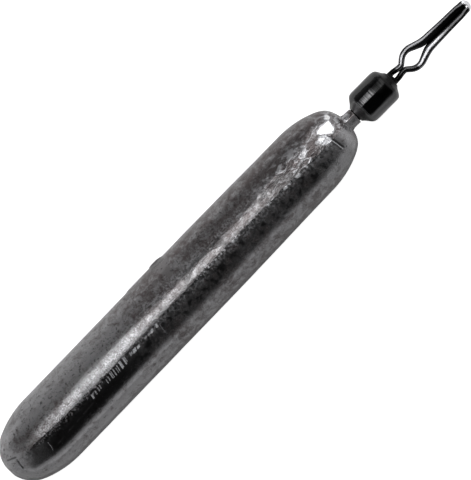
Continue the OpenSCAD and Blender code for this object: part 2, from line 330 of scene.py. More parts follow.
def points_of(piece):
    points = np.zeros(len(piece.data.vertices) * 3)
    piece.data.vertices.foreach_get("co", points)
    return points.reshape(-1, 3)


def move_points(piece, points):
    piece.data.vertices.foreach_set("co", points.ravel())
    piece.data.update()


def refine(piece, chosen, cuts):
    """Subdivides the faces whose middles are chosen by place."""
    middles = np.zeros(len(piece.data.polygons) * 3)
    piece.data.polygons.foreach_get("center", middles)
    bpy.ops.object.mode_set(mode="EDIT")
    bpy.ops.mesh.select_mode(type="FACE")
    bpy.ops.mesh.select_all(action="DESELECT")
    bpy.ops.object.mode_set(mode="OBJECT")
    piece.data.polygons.foreach_set("select", chosen(middles.reshape(-1, 3)))
    bpy.ops.object.mode_set(mode="EDIT")
    bpy.ops.mesh.subdivide(number_cuts=cuts)
    bpy.ops.object.mode_set(mode="OBJECT")


def on_top(places, low, high):
    """Which places on the upper side lie between two corners given in millimetres."""
    low, high = np.array((*low, 0.5)) * MM, np.array((*high, math.inf)) * MM
    return np.all((places > low) & (places < high), axis=1)


def bend_wire(name, route, swivel, sides=20):
    """A wire along a flat route, made as a bevelled curve and turned into a mesh."""
    bpy.ops.object.select_all(action="DESELECT")
    bpy.ops.curve.primitive_nurbs_path_add(location=(0, 0, 0))
    piece = bpy.context.object
    piece.name = name
    curve = piece.data
    curve.splines.clear()
    spline = curve.splines.new("POLY")
    spline.points.add(len(route) - 1)
    for point, (x, y) in zip(spline.points, route):
        point.co = (x, y, 0, 1)
    curve.twist_mode = "Z_UP"
    curve.bevel_depth = swivel.wire_d / 2
    curve.bevel_resolution = sides // 2 - 2
    curve.use_fill_caps = True
    bpy.ops.object.convert(target="MESH")
    bpy.ops.object.mode_set(mode="EDIT")
    bpy.ops.mesh.select_all(action="SELECT")
    bpy.ops.mesh.remove_doubles(threshold=1e-7)
    bpy.ops.mesh.normals_make_consistent(inside=False)
    bpy.ops.object.mode_set(mode="OBJECT")
    return bpy.context.object


def join_into(piece, others):
    bpy.ops.object.select_all(action="DESELECT")
    for other in others:
        other.select_set(True)
    piece.select_set(True)
    bpy.context.view_layer.objects.active = piece
    bpy.ops.object.join()
    return piece


def hand_over(piece, kind, body, material):
    """Gives a finished piece its material and its body, and hides the CAD node that it stands for."""
    piece.data.materials.clear()
    piece.data.materials.append(material)
    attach(piece, body)
    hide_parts(NODES[kind])


def soft_step(low, high, value):
    t = np.clip((value - low) / (high - low), 0, 1)
    return t * t * (3 - 2 * t)


def inside(x, y, corners):
    """How far each place lies inside a convex outline with anticlockwise corners."""
    found = np.full(len(x), np.inf)
    for (ax, ay), (bx, by) in zip(corners, corners[1:] + corners[:1]):
        across = (bx - ax) * (y - ay) - (by - ay) * (x - ax)
        found = np.minimum(found, across / math.hypot(bx - ax, by - ay))
    return found


def hump(value, middle, width):
    return np.exp(-((value - middle) / width) ** 2)


# materials

class Nodes:
    """A node tree that grows by short calls, each of which gives the new node or its value."""

    def __init__(self, tree):
        self.tree = tree

    def add(self, kind, inputs=(), **values):
        """Adds a node with its settings by name and its first inputs in order."""
        node = self.tree.nodes.new(kind)
        for name, value in values.items():
            setattr(node, name, value)
        for at, value in enumerate(inputs):
            self.put(node.inputs[at], value)
        return node

    def put(self, socket, value):
        """Links a socket to a worked-out value or sets it to a plain one."""
        if isinstance(value, bpy.types.NodeSocket):
            self.tree.links.new(value, socket)
        elif value is not None:
            socket.default_value = value

    def maths(self, operation, a, b=None, c=None):
        return self.add("ShaderNodeMath", [a, b, c], operation=operation).outputs[0]

    def fold(self, operation, first, *rest):
        """Works several values into one, two at a time."""
        for value in rest:
            first = self.maths(operation, first, value)
        return first

    def plus(self, *values):
        return self.fold("ADD", *values)

    def times(self, *values):
        return self.fold("MULTIPLY", *values)

    def most(self, *values):
        return self.fold("MAXIMUM", *values)

    def less(self, a, b):
        return self.maths("SUBTRACT", a, b)

    def size(self, value):
        """The value without its sign."""
        return self.maths("ABSOLUTE", value)

    def line(self, value, slope, start):
        """The value times the slope, from the start."""
        return self.maths("MULTIPLY_ADD", value, slope, start)

    def ramp(self, value, low, high, to_low=0.0, to_high=1.0):
        """A soft step between two places, from one level to another."""
        inputs = [value, low, high, to_low, to_high]
        return self.add("ShaderNodeMapRange", inputs, interpolation_type="SMOOTHSTEP").outputs[0]

    def mix(self, factor, a, b):
        """Mixes two numbers."""
        node = self.add("ShaderNodeMix", [factor])
        self.put(node.inputs[2], a)
        self.put(node.inputs[3], b)
        return node.outputs[0]

    def mix_colour(self, factor, a, b):
        node = self.add("ShaderNodeMix", [factor], data_type="RGBA")
        self.put(node.inputs[6], a)
        self.put(node.inputs[7], b)
        return node.outputs[2]


class Finish(Nodes):
    """A metal material whose patterns read the piece's own coordinates in millimetres."""

    def __init__(self, name, roughness):
        self.material = bpy.data.materials.new(name)
        self.material.use_nodes = True
        super().__init__(self.material.node_tree)
        self.shader = self.tree.nodes["Principled BSDF"]
        self.wear(Metallic=1, Roughness=roughness)
        place = self.add("ShaderNodeTexCoord").outputs["Object"]
        self.mm = self.vector("SCALE", place, scale=1 / MM)
        self.x, self.y, self.z = self.add("ShaderNodeSeparateXYZ", [self.mm]).outputs

    def vector(self, operation, a, b=None, scale=None):
        return self.add("ShaderNodeVectorMath", [a, b, None, scale], operation=operation).outputs[0]

    def noise(self, scale, detail, rough, stretch=None, distortion=0.0):
        """A noise with that many waves in a millimetre, or fewer along a stretched axis."""
        place = self.vector("MULTIPLY", self.mm, stretch) if stretch else self.mm
        node = self.add("ShaderNodeTexNoise")
        named = {"Vector": place, "Scale": scale, "Detail": detail, "Roughness": rough,
                 "Distortion": distortion}
        for name, value in named.items():
            self.put(node.inputs[name], value)
        return node.outputs[0]

    def swing(self, pattern, amount):
        """How far a pattern is from its middle, times an amount."""
        return self.times(self.less(pattern, 0.5), amount)

    def attribute(self, name):
        return self.add("ShaderNodeAttribute", attribute_name=name).outputs["Fac"]

    def bump(self, height, distance, strength, below=None):
        """Roughens the surface by a height, on top of the bump below it."""
        node = self.add("ShaderNodeBump")
        named = {"Height": height, "Distance": distance * MM, "Strength": strength, "Normal": below}
        for name, value in named.items():
            self.put(node.inputs[name], value)
        return node.outputs[0]

    def wear(self, **sockets):
        """Gives the shader its values by name."""
        for name, value in sockets.items():
            self.put(self.shader.inputs[name.replace("_", " ")], value)
        return self.material


class CastLead(Finish):
    """The patterns of the cast lead, all at places in millimetres: x from tail to crown, y across, z up."""

    def __init__(self):
        super().__init__("cast_lead", 0.35)
        self.map_zones()
        self.grain = self.noise(7.5, 3, 0.65)
        self.mottle = self.noise(2.0, 5, 0.62, distortion=0.4)
        self.wrinkles = self.noise(2.2, 5, 0.6, stretch=(0.5, 1, 1), distortion=1.0)
        veins = self.size(self.less(self.noise(1.5, 4, 0.6, distortion=1.2), 0.5))
        cracked = self.ramp(self.noise(0.9, 2, 0.5), 0.5, 0.62)
        self.hairs = self.times(self.ramp(veins, 0.012, 0.003), cracked)
        self.burnish_and_sheen = self.attribute("burnish_and_sheen")

    def map_zones(self):
        """How far each place belongs to the frosted half, the tail, the crown and the strip by the seam."""
        x = self.x
        ragged = self.less(self.noise(5, 3, 0.65), 0.5)
        width = self.ramp(x, -17, -12, 1.7, 0.35)
        further_at_tail = self.times(self.ramp(x, -14, -17), self.ramp(x, -22.2, -21.2, 0.0, 0.1))
        nearer_in_middle = self.times(self.ramp(x, -5.5, -4), self.ramp(x, 9, 8, 0.0, -0.1))
        edge = self.plus(self.attribute("past_seam"), further_at_tail, nearer_in_middle)
        self.frosted = self.ramp(self.line(ragged, width, edge), -0.09, 0.01)
        self.tail = self.ramp(x, -8.5, -14)
        self.off_tip = self.ramp(x, -23.4, -21.6)
        self.crown = self.ramp(x, 6.5, 9.5)
        strip = self.times(self.ramp(self.y, 1.5, 0.8), self.frosted, self.ramp(self.z, 4.5, 5.2))
        lengthwise = self.times(self.ramp(x, 6.0, 2.0), self.ramp(x, -23.2, -20.4))
        # the middle of the strip, where the lamp's highlight peaks and the painted glints gather
        self.highlight_core = self.times(strip, self.ramp(self.y, 1.2, 0.4), lengthwise)
        self.wrinkled = self.times(strip, self.ramp(x, 1.0, 6.0))

    def oxide_and_shade(self):
        """How thick the oxide is, from clean metal to dull grey, with a painted shade as more oxide low on
        the smooth half's flanks.
        """
        x, y = self.x, self.y
        # painted shade: more oxide towards the bottom of the smooth half's flanks
        flank = self.ramp(self.z, 4.5, 3.8, 0.0, 0.25)
        smoother = self.plus(self.mix(self.most(self.tail, self.crown), 0.38, 0.0), flank)
        ashen = self.times(self.off_tip, self.ramp(x, -15, -21, 0.0, 0.7), self.ramp(y, 1.5, 0.9))
        duller = self.plus(self.mix(self.tail, 0.6, 0.05), self.ramp(x, -6, 9, 0.0, 0.3), ashen)
        worn = self.plus(self.mix(self.frosted, smoother, duller), self.swing(self.mottle, 3.2),
                         self.swing(self.noise(0.55, 3, 0.5), 1.4), self.swing(self.grain, 1.5))
        below_gate = self.less(self.size(self.plus(x, 5.65)), self.line(y, 0.5, -0.55))
        wedge = self.times(self.ramp(below_gate, 0.1, -0.1), self.ramp(y, 1.35, 1.5))
        return self.ramp(self.mix(wedge, worn, 0.55), -0.15, 1.15)

    def dirt_and_shade(self):
        """How dark pits, hair cracks and cuts are: dirt in pits, hair cracks and the tail's nick and dent,
        painted shade in the crown's crease, and the dark line along the seam and round the gate stub.
        """
        pits = self.times(self.ramp(self.noise(4.5, 2, 0.5), 0.60, 0.68), self.mix(self.frosted, 0.5, 1.0))
        cuts = self.times(self.attribute("soot_and_shade"), 0.85)
        return self.most(self.times(self.most(self.hairs, pits), 0.65), cuts)

    def rubbed_and_glints(self):
        """How far each place is worn bright: tool marks, a faint scratch, and specks beside the strip that
        are painted glints.
        """
        x, y = self.x, self.y
        chatter = self.ramp(self.noise(12, 2, 0.5), 0.3, 0.55)
        marks = self.times(self.attribute("bare_and_highlight"), self.line(chatter, 0.6, 0.4))
        # painted glints: specks of light beside the seam and above the strip
        below = self.times(self.ramp(y, -1.0, -0.2), self.ramp(x, -20, -8, 0.12, 0.3))
        below = self.times(below, self.ramp(x, 10.2, 9.8))
        above = self.times(self.ramp(y, 0.75, 1.0, 0.0, 0.22), self.ramp(y, 1.6, 1.1), self.ramp(x, -12, -9))
        speckled = self.ramp(self.noise(5, 3, 0.6), 0.42, 0.62)
        specks = self.times(self.mix(self.frosted, below, above), speckled)
        off_scratch = self.size(self.plus(y, self.line(x, -0.055, 0.06)))
        faint = self.ramp(self.noise(2, 3, 0.6), 0.4, 0.6, 0.0, 0.16)
        reach = self.times(self.ramp(x, -21, -20.5), self.ramp(x, -16.4, -16.8))
        return self.most(marks, specks, self.times(self.ramp(off_scratch, 0.04, 0.01), faint, reach))

    def painted_glints(self):
        """Painted highlights: how far the grains in the middle of the strip, where the lamp's highlight lies,
        and the wrinkles past it are painted in the bright colour as glints and streaks.
        """
        grains = self.ramp(self.noise(9, 3, 0.7), 0.42, 0.64)
        uneven = self.ramp(self.noise(1.1, 3, 0.6), 0.38, 0.6, 0.2, 1.3)
        glint = self.times(grains, self.highlight_core, self.mix(self.tail, 0.2, 0.35), uneven)
        creased = self.times(self.ramp(self.y, 2.0, 1.3), self.frosted, self.ramp(self.x, 1, 6, 0.0, 0.35))
        return self.most(glint, self.times(self.ramp(self.wrinkles, 0.5, 0.62), creased))

    def shading(self):
        """Painted light and shade in the colour: painted shade dims patches of the strip's highlight, painted
        light makes a pale band above it, painted shade darkens the smooth half's lower rim, and painted light
        brightens the crown.
        """
        x, y = self.x, self.y
        from_lens = self.plus(x, 3.1)
        over = self.plus(y, self.line(self.times(from_lens, from_lens), 0.14, -0.62))
        lens = self.times(self.ramp(over, 0.0, 0.08, 0.0, 0.8), self.ramp(self.size(from_lens), 2.4, 1.9))
        upper = self.times(self.ramp(y, 0.4, 0.8), self.ramp(x, -10, -8, 0.0, 0.15))
        lower = self.times(self.ramp(y, 0.35, 0.1), self.ramp(x, -9, -11, 0.0, 0.25))
        tail_end = self.times(self.off_tip, self.ramp(x, -16, -20.5, 0.0, 0.6))
        dim = self.times(self.most(lens, upper, lower, tail_end), self.ramp(y, 1.15, 0.85))
        pale = self.times(self.ramp(y, 2.35, 1.9), self.ramp(y, 1.2, 1.6), self.ramp(x, -2, -5, 0.0, 0.5))
        # painted shade along the smooth half's lower rim and painted light on the crown
        rim = self.times(self.ramp(self.z, 3.6, 4.3, 0.85, 1.0), self.ramp(x, 10.4, 11.2, 1.0, 1.6))
        return self.mix(self.frosted, rim, self.plus(self.less(1.5, dim), pale))

    def roughness(self):
        smooth = self.plus(self.mix(self.tail, 0.24, 0.13), self.times(self.crown, 0.04))
        matt = self.less(self.mix(self.tail, 0.17, 0.16), self.times(self.crown, 0.07))
        return self.plus(self.mix(self.frosted, smooth, matt), self.swing(self.mottle, 0.25))

    def relief(self):
        """Grain, streaks, lumps, wrinkles and hair cracks, each on top of the one before."""
        coarse = self.line(self.wrinkled, -0.25, self.mix(self.tail, 0.25, 0.38))
        low = self.mix(self.frosted, 0.12, 0.25)
        normal = self.bump(self.grain, 0.06, self.mix(self.frosted, 0.06, coarse))
        normal = self.bump(self.noise(3.0, 4, 0.6, stretch=(0.2, 1, 1)), 0.03, low, normal)
        normal = self.bump(self.mottle, 0.06, low, normal)
        normal = self.bump(self.wrinkles, 0.12, self.times(self.wrinkled, 0.8), normal)
        return self.bump(self.hairs, -0.004, 0.5, normal)

    def metal(self, rubbed_and_glints):
        """How much each place shines as metal: less where dust and oxide lie."""
        dusty = self.plus(self.swing(self.mottle, -1.8), self.ramp(self.x, 10.3, 12.2, 0.8, 0.3))
        clean = self.ramp(self.x, -22.4, -20.8, 0.8, 1.0)
        solid = self.mix(self.frosted, self.mix(self.tail, dusty, clean), self.most(self.burnish_and_sheen, 0.62))
        return self.times(solid, self.line(rubbed_and_glints, -0.8, 1.0))


def lead_finish(lead):
    """Cast lead: a frosted mould half, a smoother one beyond the seam, oxide, wrinkles and worn marks, with
    painted glints, a painted highlight on the crown and painted light and shade in the colour.
    """
    f = CastLead()
    rubbed_and_glints = f.rubbed_and_glints()
    base = f.mix_colour(f.oxide_and_shade(), lead.bright, lead.oxide)
    base = f.mix_colour(f.dirt_and_shade(), base, lead.soot_and_shade)
    base = f.mix_colour(f.painted_glints(), base, lead.rubbed_and_glints)
    base = f.mix_colour(f.burnish_and_sheen, base, lead.rubbed_and_glints)
    base = f.vector("SCALE", base, scale=f.shading())
    base = f.mix_colour(rubbed_and_glints, base, lead.rubbed_and_glints)
    return f.wear(Base_Color=base, Roughness=f.roughness(), Normal=f.relief(), Metallic=f.metal(rubbed_and_glints))


def barrel_finish(swivel, at):
    """Glossy black nickel, duller where the shoulders are swaged, with plain bars across it painted bright as
    a painted highlight, painted light on the shoulders and down the sides, and painted shade on top.
    """
    f = Finish("black_nickel", 0.14)
    cloud = f.noise(2.5, 3, 0.5)
    bars = f.noise(2.0, 2, 0.5, stretch=(4.5, 0.03, 0.03))
    along = f.less(f.x, at.barrel_middle.x / MM)
    across = f.size(f.less(f.y, at.barrel_middle.y / MM))
    shoulder = f.ramp(f.size(along), 1.25, 1.5)
    # painted light: the swaged shoulders are greyer towards one end and towards one side
    side = f.times(f.ramp(along, -0.5, 0.5, 0.24, 0.03), f.ramp(f.y, -0.6, 0.3, 0.35, 1.0))
    shoulder_grey_and_light = f.add("ShaderNodeCombineColor", [side, side, side]).outputs[0]
    base = f.mix_colour(shoulder, swivel.black, shoulder_grey_and_light)
    # painted light down the barrel's sides
    base = f.mix_colour(f.ramp(across, 0.75, 1.0), base, swivel.flank)
    # painted shade on top of the barrel, from its middle towards the clip
    base = f.mix_colour(f.times(f.ramp(across, 0.9, 0.7), f.ramp(along, 0.0, 0.35)), base, swivel.deep)
    # the band where the lamp's highlight lies; the bars painted bright in it are a painted highlight
    highlight_band = f.times(f.ramp(f.size(f.less(f.y, 0.16)), 0.3, 0.2), f.ramp(f.z, 3.4, 3.8))
    bare_and_highlight = f.times(highlight_band, f.ramp(along, 0.35, -0.15, 0.04, 0.5), f.ramp(bars, 0.4, 0.62))
    base = f.mix_colour(f.times(bare_and_highlight, f.ramp(shoulder, 1.0, 0.0)), base, swivel.worn)
    dull = f.most(f.times(shoulder, 0.15), f.ramp(along, 0.1, 0.5, 0.0, 0.13), f.times(highlight_band, 0.24))
    gloss = f.plus(f.line(cloud, 0.06, 0.1), dull)
    normal = f.bump(bars, 0.12, f.ramp(along, 0.0, 0.5, 0.3, 0.15))
    return f.wear(Base_Color=base, Roughness=gloss, Normal=normal)


def wire_finish(swivel, at):
    """Plated wire with fine lines along it, dark on its flanks with painted shade and bright along its crests
    with a painted highlight set leg by leg; painted shade lies between the pressed legs and at the neck, and
    a painted highlight on the tip.
    """
    f = Finish("drawn_wire", 0.16)
    cloud = f.noise(5, 3, 0.55)
    drawn = f.noise(14, 2, 0.5, stretch=(0.12, 1, 1))
    height = f.size(f.less(f.z, at.axis_z / MM))
    # painted highlight along the wire's crests
    crest = f.ramp(f.line(cloud, 0.03, height), 0.09, 0.16)
    slope = math.tan(swivel.lean)
    across = f.plus(f.y, f.line(f.x, slope, -slope * (at.crown_x - swivel.lean_depth) / MM))
    # how strong the painted highlight is on each leg, along the clip
    left = f.times(f.ramp(f.x, 18.2, 18.8, 0.5, 0.23), f.ramp(f.x, 20.6, 22.6, 1.0, 0.25))
    right = f.times(f.ramp(f.x, 18.6, 18.8, 0.05, 0.6), f.ramp(f.x, 20.9, 22.6, 1.0, 0.1))
    level = f.times(f.mix(f.ramp(across, -0.05, 0.05), right, left), f.ramp(f.x, 17.3, 17.5))
    base = f.mix_colour(f.times(crest, level), swivel.shaded_wire, swivel.wire)
    # painted shade between the pressed legs and on the legs at the neck
    groove_shade = f.times(f.ramp(f.size(across), 0.2, 0.12), f.ramp(f.x, 20.2, 20.6))
    hidden_shade = f.most(groove_shade, f.ramp(f.x, 17.35, 17.15))
    base = f.mix_colour(hidden_shade, base, swivel.groove_shade)
    # painted highlight on the tip
    base = f.mix_colour(f.ramp(f.x, 24.38, 24.58), base, swivel.tip)
    gloss = f.plus(f.line(cloud, 0.12, 0.16), f.ramp(f.x, 16.9, 16.8, 0.0, 0.35))
    return f.wear(Base_Color=base, Roughness=gloss, Normal=f.bump(drawn, 0.01, 0.15))


# pieces

class LeadMarks:
    """What stands on the lead or is cut into it, what that wears bright or darkens with dirt, and the painted
    light and shade that some marks carry.

    Places and depths are in millimetres, x from tail to crown and y across. The marks lie on the upper side.
    """

    # the trimming tool's strokes: place along the body, near end, far end, half width, brightness
    strokes = (
        (-16.31, -0.45, -0.81, 0.06, 0.8), (-16.17, -0.38, -0.63, 0.03, 0.5),
        (-15.93, -0.41, -0.74, 0.05, 0.7), (-15.61, -0.38, -0.72, 0.05, 0.6),
        (-15.39, -0.32, -0.68, 0.05, 0.6), (-15.03, -0.27, -0.45, 0.04, 0.4),
        (-14.73, -0.41, -0.79, 0.035, 0.6), (-14.49, -0.36, -0.76, 0.04, 0.6),
        (-14.20, -0.27, -0.79, 0.04, 0.8), (-14.07, -0.25, -0.81, 0.025, 0.8),
        (-13.84, -0.23, -0.81, 0.035, 0.8), (-13.61, -0.32, -0.81, 0.03, 0.7),
        (-13.44, -0.23, -0.81, 0.03, 0.8), (-13.14, -0.2, -0.81, 0.05, 1), (-13.03, -0.2, -0.79, 0.03, 0.9),
        (-12.72, -0.2, -0.79, 0.05, 0.9), (-12.57, -0.22, -0.68, 0.04, 0.8), (-12.05, -0.3, -0.6, 0.05, 0.7),
        (-11.9, -0.36, -0.56, 0.06, 0.8), (-11.62, -0.32, -0.62, 0.15, 1), (-11.22, -0.38, -0.6, 0.13, 1),
        (-10.35, -0.3, -0.44, 0.12, 0.5), (-9.9, -0.32, -0.48, 0.2, 0.6), (-9.64, -0.27, -0.5, 0.11, 0.9),
        (-9.13, -0.22, -0.52, 0.09, 0.9), (-9.0, -0.5, -1.5, 0.02, 0.3),
    )
    # small burrs that stand on the seam: place along the body, radius
    burrs = (
        (-4.5, 0.03), (-4.1, 0.03), (-3.7, 0.035), (-3.25, 0.05), (-2.9, 0.03), (-2.45, 0.05), (-2.1, 0.03),
        (-1.85, 0.04), (-1.5, 0.05), (-1.05, 0.03), (-0.55, 0.07), (-0.2, 0.05), (0.1, 0.04), (3.25, 0.05),
        (3.5, 0.04), (4.95, 0.06), (5.15, 0.07), (5.5, 0.05), (6.35, 0.09), (6.5, 0.07), (7.35, 0.05),
    )
    # the corners of the crown's bright patch, a burnish that is also a painted highlight
    patch = ((9.6, 0.92), (10.48, 0.08), (10.82, 0.25), (11.02, 1.05), (10.15, 1.1))

    def __init__(self, points, seam, lead):
        self.x, self.y, self.z = points.T / MM
        self.seam, self.lead = seam, lead
        self.top = self.z > 0
        self.rise, self.bare_and_highlight, self.soot_and_shade, self.burnish_and_sheen = np.zeros((4, len(points)))

    def brighten(self, amount):
        self.bare_and_highlight = np.maximum(self.bare_and_highlight, amount)

    def darken(self, amount):
        self.soot_and_shade = np.maximum(self.soot_and_shade, amount)

    def stand_gate_stub(self, gate_x):
        """The stub of the gate, broken off in a lump, with a low swelling beside it."""
        back, ahead = self.y > 0, self.x - gate_x
        along = ahead / (self.lead.gate_l / MM / 2)
        round_it = np.abs(self.z) / (self.lead.gate_w / MM / 2)
        lump = np.clip(1 - along ** 4, 0, 1) * soft_step(1.2, 0.3, round_it) * back
        broken = 0.85 + 0.15 * np.cos(along * 4.4 + 0.5) - 0.08 * np.sin(along * 17)
        self.rise += lump * broken * self.lead.gate_h / MM
        self.darken(0.75 * soft_step(1.1, 0.8, np.abs(along)) * soft_step(1.45, 1.05, np.abs(self.z)) * back)
        swelling = soft_step(-3.3, -2.9, ahead) * soft_step(0.2, -0.4, ahead) * back
        self.rise += 0.05 * swelling * soft_step(1.6, 0.4, np.abs(self.z))

    def cut_strokes(self):
        """The trimming tool's strokes, which lean a little, the wide ones more."""
        for place, start, stop, half, bright in self.strokes:
            tilt = 0.2 if half < 0.1 else 0.5
            off = np.abs(self.x - place - tilt * (self.y - (start + stop) / 2))
            stroke = soft_step(half + 0.035, half - 0.01, off) * self.top
            stroke *= soft_step(stop - 0.03, stop + 0.04, self.y)
            stroke *= soft_step(start + 0.03, start - 0.04, self.y)
            self.brighten(stroke * bright)
            self.rise -= 0.6 * stroke * self.lead.mark_depth / MM

    def stand_burrs(self):
        """The burrs, on the strip's side of a dark line along the seam."""
        off = self.y - self.seam
        for place, size in self.burrs:
            dot = np.exp(-((self.x - place) / (1.4 * size)) ** 2 - ((off + 0.04) / size) ** 2) * self.top
            self.brighten(np.clip(3 * dot, 0, 1))
            self.rise += 0.4 * size * dot
        reach = soft_step(-4.8, -4.2, self.x) * soft_step(8, 7, self.x) * self.top
        self.darken(0.5 * hump(off, 0.07, 0.03) * reach)

    def fold_crease(self):
        """The cold crease in the crown, with a lip on its lower side, painted shade in the crease and a
        painted highlight on the lip.
        """
        y = self.y
        crease = self.x - (10.16 - 0.13 * y - 0.62 * np.maximum(y, 0) ** 2)
        reach = soft_step(1.0, 0.75, y) * soft_step(-1.32, -1.2, y) * self.top
        deep = 0.35 + 0.65 * soft_step(0.5, -0.1, y)
        lip = 0.35 * hump(crease, -0.13, 0.07)
        self.rise += reach * self.lead.crease_depth / MM * (lip - hump(crease, 0, 0.055) * deep)
        # painted shade in the crease
        self.darken(reach * hump(crease, 0, 0.05) * deep)
        # painted highlight along the lip
        self.brighten(0.5 * reach * hump(crease, -0.11, 0.035) * soft_step(0, -0.4, y))

    def scar_tail(self):
        """A nick, a dent and a curved scratch near the tail."""
        x, y = self.x, self.y
        nick = hump((x + 23.8) - 0.14 * (y + 0.2), 0, 0.055)
        nick *= soft_step(0.28, 0.2, y) * soft_step(-0.68, -0.6, y) * self.top
        dent = hump(y - 0.54 + 0.43 * (x + 24), 0, 0.08)
        dent *= soft_step(-24.4, -24.25, x) * soft_step(-23.55, -23.7, x) * self.top
        scratch = hump(x + 21.16 + 0.35 * (y + 0.6) ** 2, 0, 0.03)
        scratch *= soft_step(-1.35, -1.2, y) * soft_step(-0.5, -0.6, y) * self.top
        self.rise -= 0.05 * nick + 0.04 * dent + 0.02 * scratch
        self.darken(np.maximum(nick, dent))
        self.brighten(0.7 * scratch)

    def rub_flake(self):
        """A flake worn bright above the wrinkled strip."""
        ahead = self.x - 4.65
        self.brighten(0.45 * np.exp(-(ahead / 0.3) ** 2 - ((self.y - 1.3 - 0.7 * ahead) / 0.09) ** 2) * self.top)

    def burnish_crown(self):
        """The crown's bright patch, a burnish that is also a painted highlight, with a painted sheen before
        it and a painted highlight spot above it.
        """
        x, y = self.x, self.y
        ragged = 0.35 * np.array([noise.noise(Vector((a, b, 4)) * 2.2) for a, b in zip(x, y)])
        patch = soft_step(-0.04, 0.1, inside(x, y, self.patch) + 0.25 * ragged)
        sheen = soft_step(1.1, 0.7, np.hypot((x - 9.72) / 0.48, (y - 0.2) / 0.5) + ragged) * (y > self.seam)
        spot = soft_step(1.1, 0.8, np.hypot((x - 11.12) / 0.17, (y - 1.25) / 0.22))
        self.burnish_and_sheen = np.maximum(np.maximum(patch, 0.45 * sheen), spot) * self.top


